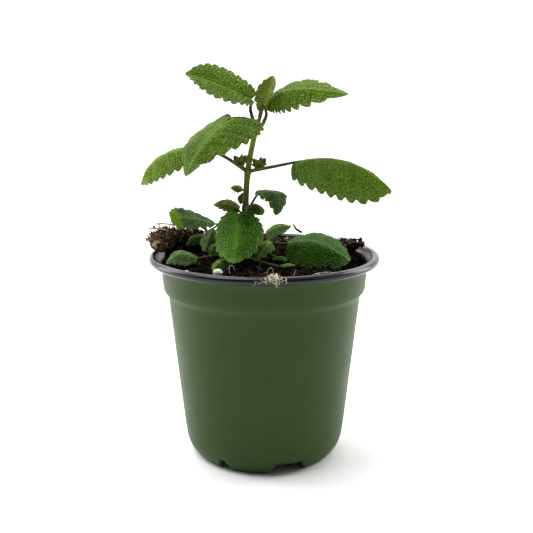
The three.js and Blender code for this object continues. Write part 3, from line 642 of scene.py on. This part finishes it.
def leaf_material(name, style, seed):
    n = Nodes(name)
    patch = n.noise(60 + 3 * seed, 3)
    grain = n.noise(900, 3)
    colour = n.blend(n.span(patch, 0.35, 0.62), style["deep"], style["top"])
    # Pale speckles and a paler band along the margin: painted sheen and glints of light off the downy leaf
    colour = n.blend(n.span(grain, 0.5, 0.7, 0.0, 0.7), colour, style["pale"])
    colour = n.blend(n.span(n.attribute("edge"), 0.55, 1.0, 0.0, 0.45), colour, style["pale"])
    # Colour darkened towards a deeper green in the creases between the puckers: painted shade
    dark = tuple(0.45 * v for v in style["deep"])
    colour = n.blend(n.span(n.attribute("crease"), 0.1, 1.0, 0.0, 0.75), colour, dark)
    colour = n.blend(n.span(n.attribute("vein"), 0.35, 1.0, 0.0, 0.28), colour, style["vein"])
    # Bright yellow-green over the leaf's end: painted light shining through the tip
    if "end" in style:
        reach = n.math("ADD", n.attribute("along"), n.span(patch, 0.3, 0.7, -0.06, 0.06))
        colour = n.blend(n.span(reach, 0.66, 0.78), colour, style["end"])
    colour = n.blend(n.attribute("under"), colour, style["back"])
    stalk = n.ramp(n.noise(160, 2), [(0.35, (0.06, 0.045, 0.015)), (0.7, (0.10, 0.11, 0.03))])
    colour = n.blend(n.attribute("stalk"), colour, stalk)
    bumps = n.math("ADD", n.math("MULTIPLY", n.cells(1150).outputs["Distance"], -0.9), grain)
    n.bump(bumps, 0.7, 0.0005)
    return n.set(
        colour=colour, roughness=n.span(grain, 0.3, 0.7, 0.4, 0.6), specular=0.09,
        subsurface=0.1, radius=(0.6, 1.0, 0.15), scale=0.0012,
    )


def stem_material():
    n = Nodes("stem_skin")
    height = n.add("ShaderNodeSeparateXYZ")
    n.link(n.place(), height.inputs["Vector"])
    colour = n.ramp(n.span(height.outputs["Z"], 0.098, 0.170), [
        (0.0, (0.07, 0.06, 0.006)), (0.45, (0.10, 0.10, 0.008)), (0.62, (0.15, 0.165, 0.014)),
        (0.8, (0.21, 0.235, 0.03)), (1.0, (0.12, 0.11, 0.015)),
    ])
    colour = n.blend(n.span(n.noise(300, 3), 0.4, 0.7, 0.0, 0.4), colour, (0.06, 0.05, 0.02))
    n.bump(n.noise(1200, 3), 0.3, 0.0003)
    return n.set(colour=colour, roughness=0.6, specular=0.15, sheen=0.03, sheen_roughness=0.4,
                 subsurface=0.08, radius=(0.6, 0.8, 0.2), scale=0.001)


def pot_material():
    n = Nodes("pot_plastic")
    dark = n.attribute("dark")
    tint = n.blend(n.span(n.noise(22, 3), 0.3, 0.7), (0.022, 0.049, 0.005), (0.026, 0.058, 0.007))
    tint = n.blend(n.span(n.noise(700, 2), 0.62, 0.8, 0.0, 0.25), tint, (0.05, 0.09, 0.025))
    colour = n.blend(dark, tint, (0.005, 0.0065, 0.0085))
    rough = n.blend(dark, n.ramp(n.noise(60, 4), [(0.3, (0.42,) * 3), (0.7, (0.5,) * 3)]), (0.2,) * 3)
    n.bump(n.noise(420, 4), 0.05, 0.0003)
    return n.set(colour=colour, roughness=rough, specular=n.span(dark, 0, 1, 0.18, 0.36))


def soil_material(name, low, mid, high):
    n = Nodes(name)
    coarse = n.math("MULTIPLY", n.noise(260, 5), 0.55)
    shade = n.math("ADD", coarse, n.math("MULTIPLY", n.noise(900, 3), 0.45))
    colour = n.ramp(shade, [(0.36, low), (0.54, mid), (0.72, high)])
    tone = n.ramp(n.attribute("tone"), [(0.0, low), (0.55, mid), (0.85, high), (1.0, (0.42, 0.30, 0.17))])
    colour = n.blend(n.attribute("loose"), colour, tone)
    n.bump(n.noise(1400, 4), 0.6, 0.0005)
    return n.set(colour=colour, roughness=0.95, specular=0.06)


def perlite_material():
    n = Nodes("perlite_grain")
    colour = n.ramp(n.noise(700, 4), [
        (0.3, (0.55, 0.50, 0.36)), (0.55, (0.82, 0.79, 0.64)), (0.8, (0.9, 0.89, 0.8)),
    ])
    n.bump(n.cells(1500, "F1").outputs["Distance"], 0.5, 0.0005)
    return n.set(colour=colour, roughness=0.85, subsurface=0.1, radius=(1, 0.9, 0.7), scale=0.001)


def root_material():
    n = Nodes("pale_roots")
    colour = n.ramp(n.noise(600, 3), [
        (0.35, (0.50, 0.43, 0.28)), (0.6, (0.75, 0.69, 0.52)), (0.8, (0.85, 0.82, 0.7)),
    ])
    n.bump(n.noise(1500, 3), 0.4, 0.0004)
    return n.set(colour=colour, roughness=0.85, specular=0.1)


def bark_material():
    n = Nodes("split_bark")
    grain = n.noise(500, 4, 0.6, 1.5)
    colour = n.ramp(grain, [(0.3, (0.18, 0.11, 0.05)), (0.6, (0.42, 0.31, 0.18)), (0.8, (0.6, 0.48, 0.32))])
    n.bump(grain, 0.5, 0.0004)
    return n.set(colour=colour, roughness=0.85, specular=0.2)


# ---- Pot -------------------------------------------------------------------------
def drain_height(angle):
    """How high the foot is cut away, angle in degrees from the front towards the right."""
    height = np.zeros(np.shape(angle))
    for centre, width in DRAIN_GAPS:
        away = np.abs((angle - centre + 180) % 360 - 180)
        slope = min(DRAIN_SLOPE, 0.4 * width)
        height = np.maximum(height, DRAIN_HEIGHT * np.clip((width / 2 - away) / slope, 0, 1))
    return height


def build_pot(material):
    arc = np.radians(np.linspace(-118, 172, 22))
    bead = [(RIM_RADIUS + RIM_BEAD * math.cos(a), RIM_Z + RIM_BEAD * math.sin(a)) for a in arc]
    profile = POT_OUTSIDE + bead + POT_INSIDE + POT_BASE[:-1]
    black = [0.0] * (len(POT_OUTSIDE) - 1) + [1.0] * (1 + len(bead) + len(POT_INSIDE) + len(POT_BASE) - 1)
    turn = np.linspace(0, 360, POT_SEGMENTS, endpoint=False)
    cut = drain_height((turn + 180) % 360 - 180)
    a = np.radians(turn - 90)
    points = []
    for r, z in profile:
        lifted = np.maximum(z, cut) if z < DRAIN_HEIGHT and r > 30 else np.full(len(turn), z)
        points.append(np.stack([r * np.cos(a), r * np.sin(a), lifted], 1))
    rows = len(profile)
    points = np.concatenate(points)
    faces = grid_faces(rows, POT_SEGMENTS, wrap=True)
    last = (rows - 1) * POT_SEGMENTS
    for j in range(POT_SEGMENTS):
        following = (j + 1) % POT_SEGMENTS
        faces.append((last + j, last + following, following, j))
    dark = np.repeat(black, POT_SEGMENTS)
    make("pot_look", points, faces, {"dark": dark}, material, ["pot"])


# ---- Potting mix -----------------------------------------------------------------
def soil_height(x, y):
    z = np.full(np.shape(x), SOIL_LEVEL, float)
    for cx, cy, h, sx, sy in SOIL_BUMPS:
        z = z + h * np.exp(-(((x - cx) / sx) ** 2) - ((y - cy) / sy) ** 2)
    return z + 0.35 * np.sin(x * 0.41 + 1) * np.cos(y * 0.37)


def soil_surface(x, y):
    rough = 0.7 * waves(x, y, 21, 4, 0.45) + 0.3 * np.abs(waves(x, y, 22, 3, 1.6))
    return soil_height(x, y) + rough - 0.6


def build_soil(material):
    rings, sides = ((120, 300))
    r = np.linspace(0, SOIL_EDGE, rings)[:, None]
    a = np.linspace(0, 2 * math.pi, sides, endpoint=False)[None, :]
    x, y = r * np.cos(a), r * np.sin(a)
    top = np.stack([x, y, soil_surface(x, y)], -1)
    wall = [(49.0, 90.0), (45.6, 80.0), (36.0, 9.0), (0.01, 8.9)]
    below = [np.stack([rr * np.cos(a[0]), rr * np.sin(a[0]), np.full(sides, z)], -1) for rr, z in wall]
    points = np.concatenate([top, np.stack(below)]).reshape(-1, 3)
    faces = [tuple(reversed(f)) for f in grid_faces(rings + len(wall), sides, wrap=True)]
    make("potting_mix_look", points, faces, {"loose": np.zeros(len(points))}, material, ["potting_mix"])


def ball(detail):
    """Unit icosphere points and faces."""
    mesh = bmesh.new()
    bmesh.ops.create_icosphere(mesh, subdivisions=detail, radius=1.0)
    points = np.array([v.co[:] for v in mesh.verts])
    faces = [tuple(v.index for v in f.verts) for f in mesh.faces]
    mesh.free()
    return points, faces


def random_turns(count, rng):
    """Random rotation matrices."""
    q = rng.normal(size=(count, 4))
    w, x, y, z = (q / np.linalg.norm(q, axis=1, keepdims=True)).T
    return np.stack([
        np.stack([1 - 2 * (y * y + z * z), 2 * (x * y - z * w), 2 * (x * z + y * w)], -1),
        np.stack([2 * (x * y + z * w), 1 - 2 * (x * x + z * z), 2 * (y * z - x * w)], -1),
        np.stack([2 * (x * z - y * w), 2 * (y * z + x * w), 1 - 2 * (x * x + y * y)], -1),
    ], 1)


def crumbs(centres, sizes, tones, rng, detail=1, flat=0.45):
    """Many small broken lumps in one part."""
    points, faces = ball(detail)
    count = len(centres)
    shapes = rng.uniform(0.45, 1.0, (count, 1, 3))
    shapes[:, :, 2] *= rng.uniform(flat, 1.0, (count, 1))
    rough = 1 + 0.22 * rng.normal(size=(count, len(points), 1))
    local = points[None] * shapes * rough * sizes[:, None, None]
    turned_points = np.einsum("nij,nkj->nki", random_turns(count, rng), local)
    out = turned_points + centres[:, None, :]
    all_faces = (np.array(faces)[None] + (np.arange(count) * len(points))[:, None, None]).reshape(-1, 3)
    tone = np.repeat(tones, len(points))
    return out.reshape(-1, 3), [tuple(f) for f in all_faces.tolist()], {"tone": tone, "loose": 1.0}


def fibres(starts, directions, lengths, radii, tones, rng, bend=0.35, steps=7):
    """Many thin bent strands in one part."""
    parts_points, faces = [], []
    sides = 4
    t = np.linspace(0, 1, steps)[:, None]
    outline = round_outline(sides)
    for i, (start, direction) in enumerate(zip(starts, directions)):
        drift = rng.normal(size=(2, 3)) * bend * lengths[i]
        path = start + direction * lengths[i] * t + drift[0] * t * t + drift[1] * np.sin(math.pi * t) * 0.4
        taper = radii[i] * (1 - 0.6 * t[:, 0] ** 2)
        p, f = sweep(path, taper, outline)
        base = i * steps * sides
        faces.extend([tuple(v + base for v in face) for face in f])
        parts_points.append(p)
    tone = np.repeat(tones, steps * sides)
    return np.concatenate(parts_points), faces, {"tone": tone, "loose": 1.0}


def scatter(count, rng, inner=0.0, edge=48.6):
    r = np.sqrt(rng.uniform((inner / edge) ** 2, 1, count)) * edge
    a = rng.uniform(0, 2 * math.pi, count)
    return r * np.cos(a), r * np.sin(a)


def inside_pot(points, limit=50.0):
    """Pulls points that would poke through the pot wall back inside it."""
    r = np.hypot(points[:, 0], points[:, 1])
    low = points[:, 2] < 103.2
    pull = np.where(low & (r > limit), limit / np.maximum(r, 1e-6), 1.0)
    points = points.copy()
    points[:, :2] *= pull[:, None]
    return points


def build_loose_soil(material):
    rng = np.random.default_rng(31)
    count = 1700
    x, y = scatter(count, rng)
    sizes = np.clip(rng.lognormal(0.0, 0.5, count), 0.5, 3.2)
    centres = np.stack([x, y, soil_surface(x, y) + 0.25 * sizes], -1)
    tones = rng.beta(0.7, 3.2, count)
    points, faces, attributes = crumbs(centres, sizes, tones, rng)
    make("soil_crumbs", inside_pot(points), faces, attributes, material, ["potting_mix"],
         smooth=False)
    strands = 900
    x, y = scatter(strands, rng, edge=47)
    heading = rng.uniform(0, 2 * math.pi, strands)
    directions = np.stack([np.cos(heading), np.sin(heading), rng.normal(0.05, 0.22, strands)], -1)
    starts = np.stack([x, y, soil_surface(x, y) + 0.3], -1)
    lengths = rng.uniform(2, 9, strands)
    radii = rng.uniform(0.08, 0.28, strands)
    points, faces, attributes = fibres(starts, directions, lengths, radii, rng.beta(2, 1.6, strands), rng)
    make("soil_fibres", inside_pot(points), faces, attributes, material, ["potting_mix"])


def build_mound(soil):
    """Lumps and split fibres heaped behind the left leaves, and a smaller heap at the right."""
    rng = np.random.default_rng(37)
    parts = []
    for centre, spread, count in MOUNDS:
        spots = rng.normal(size=(count, 3)) * spread + centre
        spots[:, 2] = np.minimum(spots[:, 2], centre[2] + 1.6 * spread[2])
        sizes = np.clip(rng.lognormal(0.1, 0.45, count), 0.5, 2.6)
        parts.append(crumbs(spots, sizes, rng.beta(1.1, 1.9, count), rng))
        strands = count // 4
        starts = rng.normal(size=(strands, 3)) * spread + centre
        heading = unit(rng.normal(size=(strands, 3)) * (1, 1, 0.5))
        parts.append(fibres(starts, heading, rng.uniform(1.5, 4.5, strands), rng.uniform(0.15, 0.4, strands),
                            rng.beta(2.5, 1.5, strands), rng, 0.2))
    points, faces, attributes = merge(parts)
    make("soil_mounds", inside_pot(points), faces, attributes, soil, ["potting_mix"], False)


def build_roots(material):
    """Pale root loops that stand out of the mix near the front."""
    paths = [smooth_path([(x, y, z) for x, y, z in loop], 18) for loop in ROOT_LOOPS]
    parts = [(*sweep(path, np.linspace(0.26, 0.12, 18), round_outline(8)), {}) for path in paths]
    points, faces, attributes = merge(parts)
    make("soil_roots", points, faces, attributes, material, ["potting_mix"])


def build_mat(soil):
    rng = np.random.default_rng(41)
    centre, size = np.array(MAT_CENTRE), np.array(MAT_SIZE)
    points, faces = ball(5)
    wave = waves(points[:, 0] * 3 + points[:, 2], points[:, 1] * 3, 43, 4, 1.0)
    body = centre + points * size * (1 + 0.12 * wave)[:, None]
    over_rim = np.hypot(body[:, 0], body[:, 1]) > 50.5
    body[:, 2] = np.where(over_rim, np.maximum(body[:, 2], 102.7), body[:, 2])
    make("fibre_mat_look", body, faces, {"loose": np.zeros(len(body))}, soil, ["fibre_mat"])
    count = 700
    spots = unit(rng.normal(size=(count, 3)))
    spots[:, 2] = np.abs(spots[:, 2])
    centres = centre + spots * size * rng.uniform(0.85, 1.02, (count, 1))
    sizes = np.clip(rng.lognormal(-0.1, 0.45, count), 0.4, 2.2)
    points, faces, attributes = crumbs(centres, sizes, rng.beta(1.4, 1.8, count), rng)
    points[:, 2] = np.maximum(points[:, 2], 102.5)
    make("fibre_mat_crumbs", points, faces, attributes, soil, ["fibre_mat"], False)
    count = 330
    spots = unit(rng.normal(size=(count, 3)))
    spots[:, 2] = np.abs(spots[:, 2])
    starts = centre + spots * size * 0.9
    directions = unit(np.stack([
        rng.normal(-0.35, 0.7, count), rng.normal(-0.1, 0.7, count), rng.normal(0.12, 0.3, count)], -1))
    lengths = rng.uniform(1.5, 5.0, count)
    radii = rng.uniform(0.18, 0.5, count)
    tones = rng.beta(2.4, 1.6, count)
    points, faces, attributes = fibres(starts, directions, lengths, radii, tones, rng, 0.16)
    points[:, 2] = np.maximum(points[:, 2], 102.4)
    points[:, 0] = np.maximum(points[:, 0], -61.0)
    make("fibre_mat_strands", points, faces, attributes, soil, ["fibre_mat"])


# ---- Stem, buds and loose pieces -------------------------------------------------
def build_tuft(material):
    """Pale root threads and dust caught on the front of the rim."""
    rng = np.random.default_rng(61)
    centre = np.array(TUFT_CENTRE)
    spots = rng.normal(size=(22, 3)) * (1.3, 0.4, 0.5) + centre + np.array([0, 0, -0.4])
    grains = crumbs(spots, rng.uniform(0.45, 1.1, 22), rng.uniform(0.9, 1.0, 22), rng)
    count = 46
    across = rng.normal(centre[0] + 1.2, 3.2, count)
    turn = np.arctan2(across, 57.2)
    starts = np.stack([57.5 * np.sin(turn), -57.5 * np.cos(turn), rng.uniform(100.2, 102.2, count)], -1)
    directions = unit(np.stack([
        rng.normal(0, 0.9, count), np.full(count, -0.06), rng.normal(-0.35, 0.5, count)], -1))
    threads = fibres(starts, directions, rng.uniform(0.9, 2.6, count), rng.uniform(0.05, 0.10, count),
                     np.ones(count), rng, 0.22)
    points, faces, attributes = merge([grains, threads])
    points[:, 1] = np.maximum(points[:, 1], -59.5)
    low = points[:, 2] < 102.4
    r = np.hypot(points[:, 0], points[:, 1])
    push = np.where(low & (r < 57.1), 57.1 / r, 1.0)
    points[:, :2] *= push[:, None]
    make("rim_tuft_look", points, faces, attributes, material, ["rim_tuft"])


def build_stem(material):
    path = smooth_path(STEM_POINTS, 90)
    swell = np.ones(90) * 1.5
    for z in (124.5, 141.5, 163.5):
        swell += 0.32 * np.exp(-((path[:, 2] - z) / 1.8) ** 2)
    swell *= np.interp(path[:, 2], [99, 125, 150, 167], [1.15, 1.06, 0.95, 0.85])
    points, faces = sweep(path, swell, square_outline(40))
    make("main_stem_look", points, faces, {}, material, ["main_stem"])


def bud_leaf(base, direction, length, width, roll, seed):
    base = np.array(base, float)
    tip = base + unit(direction) * length
    leaf = Leaf(base, tip, width, arch=0.12 * length, peak=0.5, roll=roll, fold=(18, 18), curl=(22, 22),
                lobe=0.1, teeth=4, tooth=0.06, seed=seed)
    return blade_part(leaf, False)


def build_cluster(name, start, bend, end, leaves, radius):
    path = smooth_path([start, bend, end], 18)
    stalk, faces = sweep(path, np.linspace(1.1, 0.8, 18) * radius, round_outline(12))
    parts = [(stalk, faces, {"stalk": 1.0})]
    for i, (offset, direction, length, width, roll) in enumerate(leaves):
        parts.append(bud_leaf(np.array(end) + np.array(offset), direction, length, width, roll, i))
    points, faces, attributes = merge(parts)
    material = leaf_material(name + "_skin", YOUNG, 3)
    make(name + "_look", points, faces, attributes, material, [name])


def build_grain(name, material, detail=4):
    """A rough grain filling the box of its CAD node."""
    lo, hi = (np.array(c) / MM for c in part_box(name))
    points, faces = ball(detail)
    seed = sum(ord(c) for c in name)
    wave = waves(points[:, 0] * 2.3 + points[:, 2], points[:, 1] * 2.3 - points[:, 2], seed, 3, 1.0)
    fine = waves(points[:, 0] * 7, points[:, 1] * 7 + points[:, 2] * 5, seed + 1, 3, 1.0)
    shape = points * (0.93 + 0.10 * wave + 0.035 * fine)[:, None]
    make(name + "_look", (lo + hi) / 2 + shape * (hi - lo) / 2, faces, {}, material, [name])


def build_strip(name, material, start, end, width, thick):
    """A split sliver of bark with frayed ends."""
    steps, sides = 24, 14
    path = smooth_path([start, (np.array(start) + np.array(end)) / 2 + np.array([0, 0.4, 0.3]), end], steps)
    ring = square_outline(sides, 3.0, 0.0) * np.array([thick, width]) / 2
    rng = np.random.default_rng(int(abs(start[1]) * 10) + 3)
    radii = np.interp(np.linspace(0, 1, steps), [0, 0.12, 0.85, 1], [0.35, 1, 0.9, 0.25])
    radii = radii * (1 + 0.08 * rng.normal(size=steps))
    points, faces = sweep(path, radii, ring)
    make(name + "_look", points, faces, {}, material, [name])


def build_twig(material):
    points, faces = sweep(smooth_path(TWIG_PATH, 16), np.linspace(*TWIG_RADII, 16), round_outline(10))
    make("twig_look", points, faces, {"loose": np.zeros(len(points))}, material, ["twig"])


# The white room is brighter behind the plant than before it
ROOM_SPAN = (-0.6, 0.35)
ROOM_LIGHT = (0.06, 1.35)
FLOOR_SIZE = 14.0
# Soft boxes: name, place, aim, size (m), power (W)
LAMPS = [
    ("key", (-0.5, -0.1, 1.3), (0, 0, 0.05), (0.8, 0.8), 11),
    ("side", (1.0, 0.35, 0.45), (0, 0, 0.1), (0.5, 1.0), 8.0),
    ("left", (-1.0, 0.35, 0.45), (0, 0, 0.1), (0.5, 1.0), 7.2),
    ("backdrop", (0, 4.0, 3.2), (0, 3.5, 0), (7.0, 4.0), 190),
]


# ---- Scene -----------------------------------------------------------------------
def build_camera():
    data = bpy.data.cameras.new("camera")
    data.sensor_width = 36
    data.lens = 58.15
    camera = bpy.data.objects.new("camera", data)
    camera.location = (0.00108, -0.42, 0.187)
    camera.rotation_euler = (math.radians(90 - 12.35), 0, 0)
    bpy.context.scene.collection.objects.link(camera)
    bpy.context.scene.camera = camera


def area_light(name, location, target, size, power):
    data = bpy.data.lights.new(name, "AREA")
    data.shape = "RECTANGLE"
    data.size, data.size_y = size
    data.energy = power
    lamp = bpy.data.objects.new(name, data)
    lamp.location = location
    lamp.rotation_euler = (Vector(target) - Vector(location)).to_track_quat("-Z", "Y").to_euler()
    bpy.context.scene.collection.objects.link(lamp)


def build_studio():
    world = bpy.data.worlds.new("studio")
    bpy.context.scene.world = world
    world.use_nodes = True
    tree = world.node_tree
    place = tree.nodes.new("ShaderNodeTexCoord")
    split = tree.nodes.new("ShaderNodeSeparateXYZ")
    ramp = tree.nodes.new("ShaderNodeMapRange")
    for key, value in zip(("From Min", "From Max", "To Min", "To Max"), (*ROOM_SPAN, *ROOM_LIGHT)):
        ramp.inputs[key].default_value = value
    tree.links.new(place.outputs["Generated"], split.inputs["Vector"])
    tree.links.new(split.outputs["Y"], ramp.inputs["Value"])
    tree.nodes["Background"].inputs["Color"].default_value = (1, 1, 1, 1)
    tree.links.new(ramp.outputs["Result"], tree.nodes["Background"].inputs["Strength"])
    mesh = bpy.data.meshes.new("floor")
    s = FLOOR_SIZE / 2
    mesh.from_pydata([(-s, -s, 0), (s, -s, 0), (s, s, 0), (-s, s, 0)], [], [(0, 1, 2, 3)])
    floor = bpy.data.objects.new("floor", mesh)
    n = Nodes("white_floor")
    n.set(colour=(0.97, 0.97, 0.96), roughness=0.9, specular=0.1)
    mesh.materials.append(n.material)
    bpy.context.scene.collection.objects.link(floor)
    for lamp in LAMPS:
        area_light(*lamp)
    bpy.context.scene.view_settings.view_transform = "Standard"


def main():
    build_camera()
    build_studio()
    soil = soil_material("potting_mix", (0.0025, 0.002, 0.0015), (0.010, 0.006, 0.004), (0.07, 0.045, 0.026))
    mat = soil_material("shredded_fibre", (0.008, 0.005, 0.003), (0.06, 0.036, 0.02), (0.26, 0.17, 0.10))
    bark = bark_material()
    perlite = perlite_material()
    build_pot(pot_material())
    build_soil(soil)
    build_loose_soil(soil)
    build_mat(mat)
    build_mound(mat)
    build_roots(root_material())
    build_stem(stem_material())
    for seed, (name, spec) in enumerate(LEAVES.items()):
        build_leaf(name, spec, seed)
    build_cluster("apex_bud", *APEX_STALK, APEX_BUDS, 0.6)
    for name, stalk in SHOOT_STALKS.items():
        build_cluster(name, *stalk, SHOOT_BUDS, 0.7)
    build_tuft(root_material())
    for i in range(1, PERLITE_COUNT + 1):
        build_grain(f"perlite_{i}", perlite)
    for name, (start, end, width) in SLIVERS.items():
        build_strip(name, bark, start, end, width, SLIVER_THICK)
    build_twig(mat)


main()
